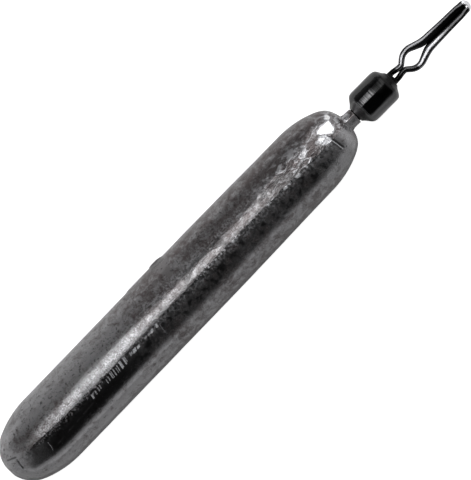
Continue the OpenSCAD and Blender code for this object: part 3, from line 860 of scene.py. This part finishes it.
class SINKER_OT_cast_lead(bpy.types.Operator):
    """Casts the lead body with its seam, lands, stub, marks, crease and poured neck"""
    bl_idname = "sinker.cast_lead"
    bl_label = "Cast the lead"

    columns = 40
    rings = 54
    # the turns at which the rings of each nose lie, in degrees from its tip
    tail_turns = (4, 9, 15, 22, 29, 36, 43, 50)
    crown_turns = (2.5, 5, 7.5, 10, 12.5, 15, 17.5, 20, 24, 28, 33, 38, 43, 48)
    # where the upper seam runs, as places along the body and across it, in millimetres
    seam_x = (-24.8, -21.2, -20, -16, -12.5, -9, -4.5, 0, 3, 4.5, 6.5, 9.5, 12)
    seam_y = (0.04, 0.03, -0.11, -0.19, -0.13, -0.12, -0.12, -0.1, -0.1, -0.14, -0.21, -0.27, -0.3)
    # windows on the upper side with finer faces: ends along the body, ends across it in millimetres, cuts
    finer = ((-16.8, -8.7, -1.0, -0.12, 3), (-5, 8, -0.4, 0.1, 1), (9.3, 11.2, -1.5, 1.2, 2),
             (-24.6, -23.2, -0.9, 0.9, 2), (-21.9, -21.1, -1.5, -0.4, 2))

    def stations(self, lead, at):
        """The outline from tail to crown, as places along the body and radii."""
        nose_turn = math.acos(1 - at.nose_end / at.nose_r)
        first = math.asin((lead.end_l - at.nose_end) / at.shoulder_r)
        turns = [first * (1 - i / 7) for i in range(7)]
        shoulder = [(lead.end_l - at.shoulder_r * math.sin(t), at.body_r - at.shoulder_r * (1 - math.cos(t)))
                    for t in turns]

        def end(degrees):
            turns = [t for t in map(math.radians, degrees) if t < nose_turn]
            return [(at.nose_r * (1 - math.cos(t)), at.nose_r * math.sin(t)) for t in turns] + shoulder

        run = lead.body_l - 2 * lead.end_l
        middle = [(lead.end_l + run * i / self.rings, at.body_r) for i in range(self.rings + 1)]
        whole = end(self.tail_turns) + middle
        whole += [(lead.body_l - x, r) for x, r in reversed(end(self.crown_turns))]
        swell = 3 / (2 + math.cos(2 * math.pi / self.columns))
        return [(at.tail_x + x, r * swell) for x, r in whole]

    def true_up(self, points, lead, at):
        """Brings every point onto the exact round form."""
        x = points[:, 0]
        radius = np.maximum(np.hypot(points[:, 1], points[:, 2]), 1e-9)
        from_end = np.clip(np.minimum(x - at.tail_x, at.crown_x - x), 0, lead.end_l)
        wanted = at.body_r - at.shoulder_r + np.sqrt(at.shoulder_r ** 2 - (lead.end_l - from_end) ** 2)
        points[:, 1:] *= np.where(from_end > at.nose_end, wanted / radius, 1)[:, None]
        for middle_x, side in ((at.tail_x + at.nose_r, -1), (at.crown_x - at.nose_r, 1)):
            middle = np.array((middle_x, 0, 0))
            spoke = points - middle
            beyond = side * spoke[:, 0] > at.nose_r - at.nose_end
            far = np.linalg.norm(spoke[beyond], axis=1)
            points[beyond] = middle + spoke[beyond] * (at.nose_r / far)[:, None]

    def blunt(self, points, lead, at):
        """Tapers the crown half a little and flattens the tips of the tail and the crown."""
        points[:, 1:] *= (1 - lead.taper * soft_step(-4 * MM, 9 * MM, points[:, 0]))[:, None]
        points[:, 0] = np.maximum(points[:, 0], at.tail_x + lead.tail_flat)
        beyond = np.maximum(points[:, 0] - (at.crown_x - 0.85 * MM), 0)
        points[:, 0] -= 1.7 * lead.crown_flat * beyond ** 2 / (beyond + 0.4 * MM) / MM

    def seam_across(self, x):
        """How far across the body the seam lies at each place along it, in millimetres."""
        steps = np.linspace(-1, 1, 9)
        return sum(np.interp(x / MM + 0.7 * step, self.seam_x, self.seam_y) for step in steps) / len(steps)

    def seam_turn(self, x, at):
        """The turn of the seam about the body at each place along it."""
        return -self.seam_across(x) * MM / at.body_r

    def gather_at_seam(self, points, at):
        """Draws the columns of points together along the seam and bends them to its line."""
        middle = np.abs(points[:, 0]) + np.abs(points[:, 1]) * (points[:, 2] > 0) + (points[:, 2] < 0)
        first = points[np.argmin(middle)]
        column_turn = math.atan2(-first[1], first[2])
        turn = np.arctan2(-points[:, 1], points[:, 2])
        radius = np.hypot(points[:, 1], points[:, 2])
        off = np.mod(turn - column_turn + math.pi, 2 * math.pi) - math.pi
        off *= 1 - 0.72 * np.exp(-(off / 0.11) ** 2)
        bend = (self.seam_turn(points[:, 0], at) - column_turn) * np.exp(-(off / 0.7) ** 2)
        turn = column_turn + off + bend
        points[:, 1], points[:, 2] = -radius * np.sin(turn), radius * np.cos(turn)

    def off_seam(self, points, at):
        """The turn of each point from the seam, below zero on the frosted side."""
        turn = np.arctan2(-points[:, 1], points[:, 2])
        return np.mod(turn - self.seam_turn(points[:, 0], at) + math.pi, 2 * math.pi) - math.pi

    def part_halves(self, points, lead, at):
        """The frosted half falls away from the seam, and the other half starts a step lower."""
        off = self.off_seam(points, at)
        near, far = 0.34, 1.3
        left = np.clip(-off, 0, far)
        fall = np.where(left < near, 1 - (1 - left / near) ** 2,
                        np.cos(math.pi / 2 * (left - near) / (far - near)) ** 2)
        right = np.clip(off, 0, None)
        step = soft_step(0, 0.012, right) * np.exp(-right / 0.12)
        radius = np.maximum(np.hypot(points[:, 1], points[:, 2]), 1e-9)
        local = radius / at.body_r
        depth = (lead.seam_fall * fall + lead.seam_step * step) * soft_step(0, 0.5, local) * local
        points[:, 1:] *= (1 - depth / radius)[:, None]

    def poured_reach(self, lead, at, turn):
        """How far the lead reaches from the middle of the nose, at each angle from the swivel's axis."""
        ring_r, top = lead.pour_r, at.nose_r + lead.pour_h
        web = lead.web_h * soft_step(0.5 * MM, 0.3 * MM, top * np.sin(turn))
        fillet_x = ring_r + lead.pour_fillet
        reach = at.nose_r - lead.crown_flat + lead.pour_fillet - 0.01 * MM
        fillet_h = math.sqrt(reach ** 2 - fillet_x ** 2)
        along = fillet_x * np.sin(turn) + fillet_h * np.cos(turn)
        under = np.maximum(along ** 2 - reach ** 2 + lead.pour_fillet ** 2, 0)
        fillet = along - np.sqrt(under)
        foot = math.atan2(fillet_x, fillet_h)
        wall = math.atan2(ring_r, fillet_h)
        rim = math.atan2(ring_r, top)
        side = ring_r / np.sin(np.maximum(turn, 0.05))
        found = np.where(turn < rim, (top + web) / np.cos(np.minimum(turn, 1)), side)
        found = np.where(turn > wall, fillet, found)
        return np.where(turn > foot, 0, found)

    def pour(self, points, lead, swivel, at):
        """Draws the lead up round the legs of the cast-in eye."""
        middle = np.array((at.crown_x - at.nose_r, 0, 0))
        off = math.asin(swivel.lean_depth * math.sin(swivel.lean) / at.nose_r)
        axis = np.array((math.cos(off), -math.sin(off), 0))
        spoke = points - middle
        far = np.linalg.norm(spoke, axis=1)
        turn = np.arccos(np.clip(spoke @ axis / far, -1, 1))
        near = turn < math.radians(24)
        want = np.maximum(self.poured_reach(lead, at, turn), far)
        points[near] = middle + spoke[near] * (want / far)[near, None]

    def roughen(self, points, normals):
        """Low waves and pits of a hand-poured casting."""
        found = np.zeros(len(points))
        for n, (x, y, z) in enumerate(points):
            here = Vector((x, y, z)) / MM
            wave = noise.noise(here * 0.28) * 0.014 + noise.noise(here * 0.9 + Vector((7, 3, 1))) * 0.007
            pit = max(0.0, noise.noise(here * 2.3 + Vector((1, 9, 4))) - 0.42) * 0.05
            found[n] = (wave - pit) * MM
        return points + normals * (found - 0.008 * MM)[:, None]

    def mark(self, points, lead, at):
        """The marks of the casting and of what has happened to it since."""
        marks = LeadMarks(points, self.seam_across(points[:, 0]), lead)
        marks.stand_gate_stub((at.crown_x - lead.body_l / 2 + lead.gate_x) / MM)
        marks.cut_strokes()
        marks.stand_burrs()
        marks.fold_crease()
        marks.scar_tail()
        marks.rub_flake()
        marks.burnish_crown()
        return marks

    def execute(self, context):
        lead, swivel = context.scene.sinker_lead, context.scene.sinker_swivel
        at = Places(context.scene)
        piece = turn_piece("lead_casting", self.stations(lead, at), self.columns, math.radians(2))
        finish_modifier("SUBSURF", levels=2, render_levels=2)
        points = points_of(piece)
        self.gather_at_seam(points, at)
        move_points(piece, points)
        for x0, x1, y0, y1, cuts in self.finer:
            refine(piece, lambda middles: on_top(middles, (x0, y0), (x1, y1)), cuts)
        rim_x, rim_r = at.crown_x - 0.14 * MM, 0.4 * MM
        refine(piece, lambda c: (c[:, 0] > rim_x) & (np.hypot(c[:, 1], c[:, 2]) > rim_r), 1)
        points = points_of(piece)
        self.true_up(points, lead, at)
        self.blunt(points, lead, at)
        self.part_halves(points, lead, at)
        self.pour(points, lead, swivel, at)
        past_seam = np.clip(self.off_seam(points, at) * -at.body_r / MM, -1, 1)
        move_points(piece, points)
        normals = np.zeros(len(points) * 3)
        piece.data.vertices.foreach_get("normal", normals)
        normals = normals.reshape(-1, 3)
        points = self.roughen(points, normals)
        marks = self.mark(points, lead, at)
        points = points + normals * (marks.rise * MM)[:, None]
        points[:, 2] = np.maximum(points[:, 2], -at.axis_z) + at.axis_z
        low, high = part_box(NODES["lead"])
        points[:, 1:] = np.clip(points[:, 1:], np.array(low)[1:], np.array(high)[1:])
        move_points(piece, points)
        named = {"past_seam": past_seam, "bare_and_highlight": marks.bare_and_highlight, "soot_and_shade": marks.soot_and_shade,
                 "burnish_and_sheen": marks.burnish_and_sheen}
        for name, values in named.items():
            piece.data.attributes.new(name, "FLOAT", "POINT").data.foreach_set("value", values)
        hand_over(piece, "lead", "sinker", lead_finish(lead))
        return {"FINISHED"}


def swivel_head(name, at, swivel):
    """The upset head and collar that hold an eye in the barrel, measured from its mouth."""
    slope = (swivel.barrel_d / 2 - at.mouth_r - swivel.lip_wall) / swivel.shoulder_l
    cavity_r = swivel.barrel_d / 2 - swivel.barrel_wall
    cavity_x = -swivel.shoulder_l - swivel.barrel_wall * math.tan(math.atan(slope) / 2)
    head_r, head_l, play = 0.95 * MM, 0.65 * MM, 0.1 * MM
    cone_x = cavity_x - play
    head_x = cone_x + (cavity_r - head_r) / slope
    profile = [
        (head_x - head_l, 0.5 * head_r), (head_x - head_l, 0.85 * head_r),
        (head_x - head_l + 0.06 * MM, head_r), (head_x, head_r),
        (cone_x + (cavity_r - at.collar_r) / slope, at.collar_r), (at.collar_out - 0.02 * MM, at.collar_r),
        (at.collar_out, at.collar_r - 0.02 * MM), (at.collar_out, 0.5 * at.collar_r),
    ]
    return turn_piece(name, profile, 48)


class SINKER_OT_bend_anchor(bpy.types.Operator):
    """Bends the lower eye, whose ring is cast into the lead"""
    bl_idname = "sinker.bend_anchor"
    bl_label = "Bend the cast-in eye"

    def execute(self, context):
        swivel = context.scene.sinker_swivel
        at = Places(context.scene)
        wire = bend_wire("cast_in_eye", anchor_route(at, swivel), swivel)
        head = swivel_head("anchor_head", at, swivel)
        piece = join_into(wire, [head])
        piece.data.transform(at.in_lead)
        place_in_mesh(piece)
        hand_over(piece, "anchor", "sinker", wire_finish(swivel, at))
        return {"FINISHED"}


class SINKER_OT_bend_clip(bpy.types.Operator):
    """Bends and presses the upper eye that grips the line"""
    bl_idname = "sinker.bend_clip"
    bl_label = "Bend the line clip"

    def press(self, piece, clip, swivel, route, widths, pinch_x):
        """Widens and flattens the wire where it is pressed, shifts its crest outwards and thins its tip."""
        flat_delay, blur, flattening, tip_thinning = 0.9 * MM, 0.2 * MM, 0.1, 0.6
        mesh = piece.data
        normals = np.zeros(len(mesh.vertices) * 3)
        mesh.vertices.foreach_get("normal", normals)
        flat = normals.reshape(-1, 3) * np.array((1, 1, 0))
        points = points_of(piece)
        width = np.interp(points[:, 0], *widths)
        grow = (width / swivel.wire_d - 1)[:, None]
        points += flat * grow * swivel.wire_d / 2
        points[:, 2] *= (swivel.wire_d / width) ** flattening
        leg = np.array(route[:len(route) // 2])
        side = np.sign(points[:, 1])
        off = points[:, 1] - side * np.interp(points[:, 0], leg[:, 0], leg[:, 1])
        lean, limit = clip.flat_turn, clip.flat_share * swivel.wire_d / 2
        high = off * math.sin(lean) + points[:, 2] * math.cos(lean)
        start = clip.neck_l + np.where(side > 0, 0, flat_delay)
        begun = soft_step(-blur, blur, points[:, 0] - start)
        over = np.sign(high) * np.maximum(np.abs(high) - limit, 0) * begun
        points[:, 1] -= over * math.sin(lean)
        points[:, 2] -= over * math.cos(lean)
        tip_x = clip.clip_l - clip.tip_w
        ready = soft_step(pinch_x - 1.6 * MM, pinch_x, points[:, 0])
        ready *= soft_step(tip_x, tip_x - 0.6 * MM, points[:, 0])
        points[:, 1] += clip.splay * np.abs(points[:, 2]) * ready * np.sign(points[:, 1])
        thinned = soft_step(clip.clip_l - 0.36 * MM, clip.clip_l - 0.02 * MM, points[:, 0])
        points[:, 2] *= 1 - tip_thinning * thinned
        move_points(piece, points)

    def execute(self, context):
        swivel, clip = context.scene.sinker_swivel, context.scene.sinker_clip
        at = Places(context.scene)
        route, widths, pinch_x = clip_route(at, swivel, clip)
        wire = bend_wire("line_clip_wire", route, swivel, 28)
        self.press(wire, clip, swivel, route, widths, pinch_x)
        head = swivel_head("clip_head", at, swivel)
        piece = join_into(wire, [head])
        piece.data.transform(at.in_clip)
        place_in_mesh(piece)
        hand_over(piece, "clip", "clip", wire_finish(swivel, at))
        return {"FINISHED"}


class SINKER_OT_swage_barrel(bpy.types.Operator):
    """Swages the tube of the swivel over the heads of both eyes"""
    bl_idname = "sinker.swage_barrel"
    bl_label = "Swage the barrel"

    def outline(self, at, swivel):
        """The outside from mouth to mouth and the inside back, as places along the swivel and radii."""
        half, full = swivel.barrel_l / 2, swivel.barrel_d / 2
        lip = at.mouth_r + swivel.lip_wall
        shoulder = half - swivel.shoulder_l
        cavity = full - swivel.barrel_wall
        edge = swivel.lip_wall / 3
        # the lip, then the two bends of the swaged shoulder, then the full width
        outer = [(half, at.mouth_r + edge), (half, lip - edge), (half - edge, lip)]
        outer += [(half - 0.16 * MM, lip + 0.10 * MM), (half - 0.34 * MM, lip + 0.34 * MM)]
        outer += [(shoulder + 0.12 * MM, full - 0.16 * MM), (shoulder - 0.06 * MM, full - 0.035 * MM)]
        outer += [(shoulder - 0.28 * MM, full), (shoulder - 0.7 * MM, full), (0.3 * MM, full)]
        slope = (full - lip) / swivel.shoulder_l
        inner_x = shoulder - swivel.barrel_wall * math.tan(math.atan(slope) / 2)
        throat = inner_x + (cavity - at.mouth_r) / slope
        inner = [(0.3 * MM, cavity), (inner_x - 0.1 * MM, cavity), (inner_x + 0.1 * MM, cavity - 0.1 * MM)]
        inner += [(throat, at.mouth_r), (half - edge, at.mouth_r)]
        outside = outer + [(-x, r) for x, r in reversed(outer)]
        inside = [(-x, r) for x, r in reversed(inner)] + inner
        return outside + inside

    def execute(self, context):
        swivel = context.scene.sinker_swivel
        at = Places(context.scene)
        outline = self.outline(at, swivel)
        bpy.ops.object.select_all(action="DESELECT")
        bpy.ops.mesh.primitive_circle_add(vertices=len(outline), radius=at.body_r)
        piece = bpy.context.object
        piece.name = piece.data.name = "swivel_tube"
        for vertex, (x, r) in zip(piece.data.vertices, outline):
            vertex.co = (x, r, 0)
        bpy.ops.object.mode_set(mode="EDIT")
        bpy.ops.mesh.select_all(action="SELECT")
        bpy.ops.mesh.spin(steps=64, angle=2 * math.pi, center=(0, 0, 0), axis=(1, 0, 0))
        bpy.ops.mesh.select_all(action="SELECT")
        bpy.ops.mesh.remove_doubles(threshold=2e-7)
        bpy.ops.mesh.normals_make_consistent(inside=False)
        bpy.ops.object.mode_set(mode="OBJECT")
        finish_modifier("SUBSURF", levels=1, render_levels=1)
        self.mark(piece)
        piece.data.transform(at.in_barrel)
        place_in_mesh(piece)
        hand_over(piece, "barrel", "barrel", barrel_finish(swivel, at))
        return {"FINISHED"}

    def mark(self, piece):
        """Presses the flats of the jaws into the outside, and the upper shoulder a little further in."""
        jaws, flat_depth, outside_r = 7, 0.006 * MM, 0.9 * MM
        points = points_of(piece)
        radius = np.hypot(points[:, 1], points[:, 2])
        round_it = np.arctan2(points[:, 1], points[:, 2])
        flats = flat_depth * np.cos(jaws * round_it + 2.2 * np.sin(3 * points[:, 0] / MM))
        change = np.where(radius > outside_r, (flats - flat_depth) / radius, 0)
        points[:, 1:] *= (1 + change)[:, None]
        x = points[:, 0] / MM
        shoulder_in, mouth_in = 0.07 * soft_step(0.5, 1.2, x), 0.12 * soft_step(1.3, 2.0, x)
        points[:, 0] -= (shoulder_in + mouth_in) * MM
        move_points(piece, points)


# stage

class SINKER_OT_set_stage(bpy.types.Operator):
    """Sets the floor, the lamps, the surroundings and the camera"""
    bl_idname = "sinker.set_stage"
    bl_label = "Set the stage"

    # how bright the surroundings are at each angle about the sinker, in degrees from overhead towards -Y
    surroundings = ((-180, 0.6), (-100, 0.25), (-80, 0.12), (-50, 0.09), (-20, 0.05), (0, 0.02),
                    (60, 0.02), (67, 0.05), (76, 0.6), (84, 0.95), (90, 1.1), (180, 1.1))
    # the same past both ends of the sinker
    end_light = (0.9, 0.9, 0.91, 1)
    white = (1, 1, 1, 1)
    # the floor's own glow for the camera, to which its paint adds the rest
    floor_glow = 0.92
    # how bright the metal mirrors the floor: in the painted shadow under the lead, and beyond it
    floor_mirrored = (0.02, 0.28)
    # both lamps: direction, width and height in metres
    long_lamp = ((0, math.sin(math.radians(20)), math.cos(math.radians(20))), (0.45, 0.06))
    low_lamp = ((0.62, 0.55, 0.56), (0.26, 0.22))
    lamp_distance = 0.4

    def lay_floor(self, stage):
        bpy.ops.object.select_all(action="DESELECT")
        bpy.ops.mesh.primitive_circle_add(vertices=96, radius=1.5, fill_type="NGON")
        floor = bpy.context.object
        floor.name = floor.data.name = "floor"
        material = bpy.data.materials.new("pale_floor")
        material.use_nodes = True
        material.node_tree.nodes.clear()
        f = Nodes(material.node_tree)
        path = f.add("ShaderNodeLightPath").outputs
        mirrored = f.most(path["Is Glossy Ray"], path["Is Transmission Ray"])
        strength = f.line(mirrored, self.shadowed_floor_glow(f), f.times(path["Is Camera Ray"], self.floor_glow))
        paint = f.add("ShaderNodeBsdfDiffuse", [stage.floor])
        glow = f.add("ShaderNodeEmission", [self.white, strength])
        both = f.add("ShaderNodeAddShader", [paint.outputs[0], glow.outputs[0]])
        f.add("ShaderNodeOutputMaterial", [both.outputs[0]])
        floor.data.materials.append(material)

    def shadowed_floor_glow(self, f):
        """How bright the mirrored floor glows: a painted shadow darkens it under the lead, and it is plain
        beyond it.
        """
        middle_x, middle_y, half_l, dark_r, plain_r = (v * MM for v in (-6.4, -1.2, 15.5, 4.2, 6.2))
        place = f.add("ShaderNodeTexCoord").outputs["Object"]
        x, y = f.add("ShaderNodeSeparateXYZ", [place]).outputs[:2]
        past_end = f.most(f.less(f.size(f.less(x, middle_x)), half_l), 0.0)
        aside = f.less(y, middle_y)
        away = f.maths("SQRT", f.plus(f.times(past_end, past_end), f.times(aside, aside)))
        return f.ramp(away, dark_r, plain_r, *self.floor_mirrored)

    def hang_lamp(self, name, direction, size, radiance):
        """A soft rectangular lamp that faces the sinker."""
        lamp = bpy.data.lights.new(name, "AREA")
        lamp.shape = "RECTANGLE"
        lamp.size, lamp.size_y = size
        lamp.energy = radiance * math.pi * size[0] * size[1]
        holder = bpy.data.objects.new(name, lamp)
        bpy.context.scene.collection.objects.link(holder)
        way = Vector(direction).normalized()
        sideways = Vector((1, 0, 0)) if abs(way.x) < 0.5 else Vector((0, 0, 1)).cross(way).normalized()
        upright = way.cross(sideways).normalized()
        turn = Matrix((sideways, upright, way)).transposed().to_4x4()
        holder.matrix_world = Matrix.Translation(way * self.lamp_distance) @ turn
        holder.visible_camera = False

    def surround(self, stage):
        """Dim studio surroundings that depend on the direction alone, and plain white for the camera."""
        world = bpy.data.worlds.new("studio")
        bpy.context.scene.world = world
        world.use_nodes = True
        world.node_tree.nodes.clear()
        f = Nodes(world.node_tree)
        way = f.add("ShaderNodeTexCoord").outputs["Generated"]
        x, y, z = f.add("ShaderNodeSeparateXYZ", [way]).outputs
        turn = f.maths("ARCTAN2", f.times(y, -1.0), z)
        around = f.add("ShaderNodeValToRGB", [f.line(turn, 1 / (2 * math.pi), 0.5)])
        around.color_ramp.interpolation = "EASE"
        stops = around.color_ramp.elements
        for degrees, value in self.surroundings:
            place = 0.5 + degrees / 360
            stop = stops[0] if place == 0 else stops[-1] if place == 1 else stops.new(place)
            stop.color = (value, value, value * 1.01, 1)
        ends = f.plus(f.ramp(x, 0.58, 0.78), f.times(f.ramp(x, -0.6, -0.8), 0.65))
        light = f.mix_colour(ends, around.outputs[0], self.end_light)
        dim = f.add("ShaderNodeBackground", [light, stage.sky])
        bright = f.add("ShaderNodeBackground", [self.white])
        seen = f.add("ShaderNodeLightPath").outputs["Is Camera Ray"]
        shown = f.add("ShaderNodeMixShader", [seen, dim.outputs[0], bright.outputs[0]])
        f.add("ShaderNodeOutputWorld", [shown.outputs[0]])

    def set_camera(self, stage):
        camera = bpy.data.cameras.new("camera")
        camera.sensor_fit = "HORIZONTAL"
        camera.sensor_width = 36
        camera.lens = camera.sensor_width * stage.camera_distance / stage.view_width
        camera.clip_start, camera.clip_end = 0.01, 10
        holder = bpy.data.objects.new("camera", camera)
        bpy.context.scene.collection.objects.link(holder)
        axis_z = Places(bpy.context.scene).axis_z
        holder.location = (stage.view_x, stage.view_y, stage.camera_distance + axis_z)
        holder.rotation_euler = (0, 0, -stage.view_roll)
        bpy.context.scene.camera = holder

    def execute(self, context):
        stage = context.scene.sinker_stage
        context.scene.view_settings.view_transform = "Standard"
        self.lay_floor(stage)
        self.hang_lamp("long_lamp", *self.long_lamp, stage.key)
        self.hang_lamp("low_lamp", *self.low_lamp, stage.crown_lamp)
        self.surround(stage)
        self.set_camera(stage)
        return {"FINISHED"}


# panel and registration

OPERATORS = (SINKER_OT_set_stage, SINKER_OT_cast_lead, SINKER_OT_bend_anchor, SINKER_OT_swage_barrel,
             SINKER_OT_bend_clip)


class SINKER_PT_panel(bpy.types.Panel):
    """Lists the steps that make the sinker"""
    bl_label = "Sinker"
    bl_idname = "SINKER_PT_panel"
    bl_space_type = "VIEW_3D"
    bl_region_type = "UI"
    bl_category = "Sinker"

    def draw(self, context):
        for group, settings in SETTINGS.items():
            box = self.layout.box()
            box.label(text=settings.__doc__)
            for name in settings.__annotations__:
                box.prop(getattr(context.scene, group), name)
        for operator in OPERATORS:
            self.layout.operator(operator.bl_idname)


def register():
    for group, settings in SETTINGS.items():
        bpy.utils.register_class(settings)
        setattr(bpy.types.Scene, group, PointerProperty(type=settings))
    for made in (*OPERATORS, SINKER_PT_panel):
        bpy.utils.register_class(made)


def unregister():
    for made in (SINKER_PT_panel, *reversed(OPERATORS)):
        bpy.utils.unregister_class(made)
    for group, settings in SETTINGS.items():
        delattr(bpy.types.Scene, group)
        bpy.utils.unregister_class(settings)


def main():
    register()
    bpy.ops.sinker.set_stage()
    bpy.ops.sinker.cast_lead()
    bpy.ops.sinker.bend_anchor()
    bpy.ops.sinker.swage_barrel()
    bpy.ops.sinker.bend_clip()


if __name__ == "__main__":
    main()
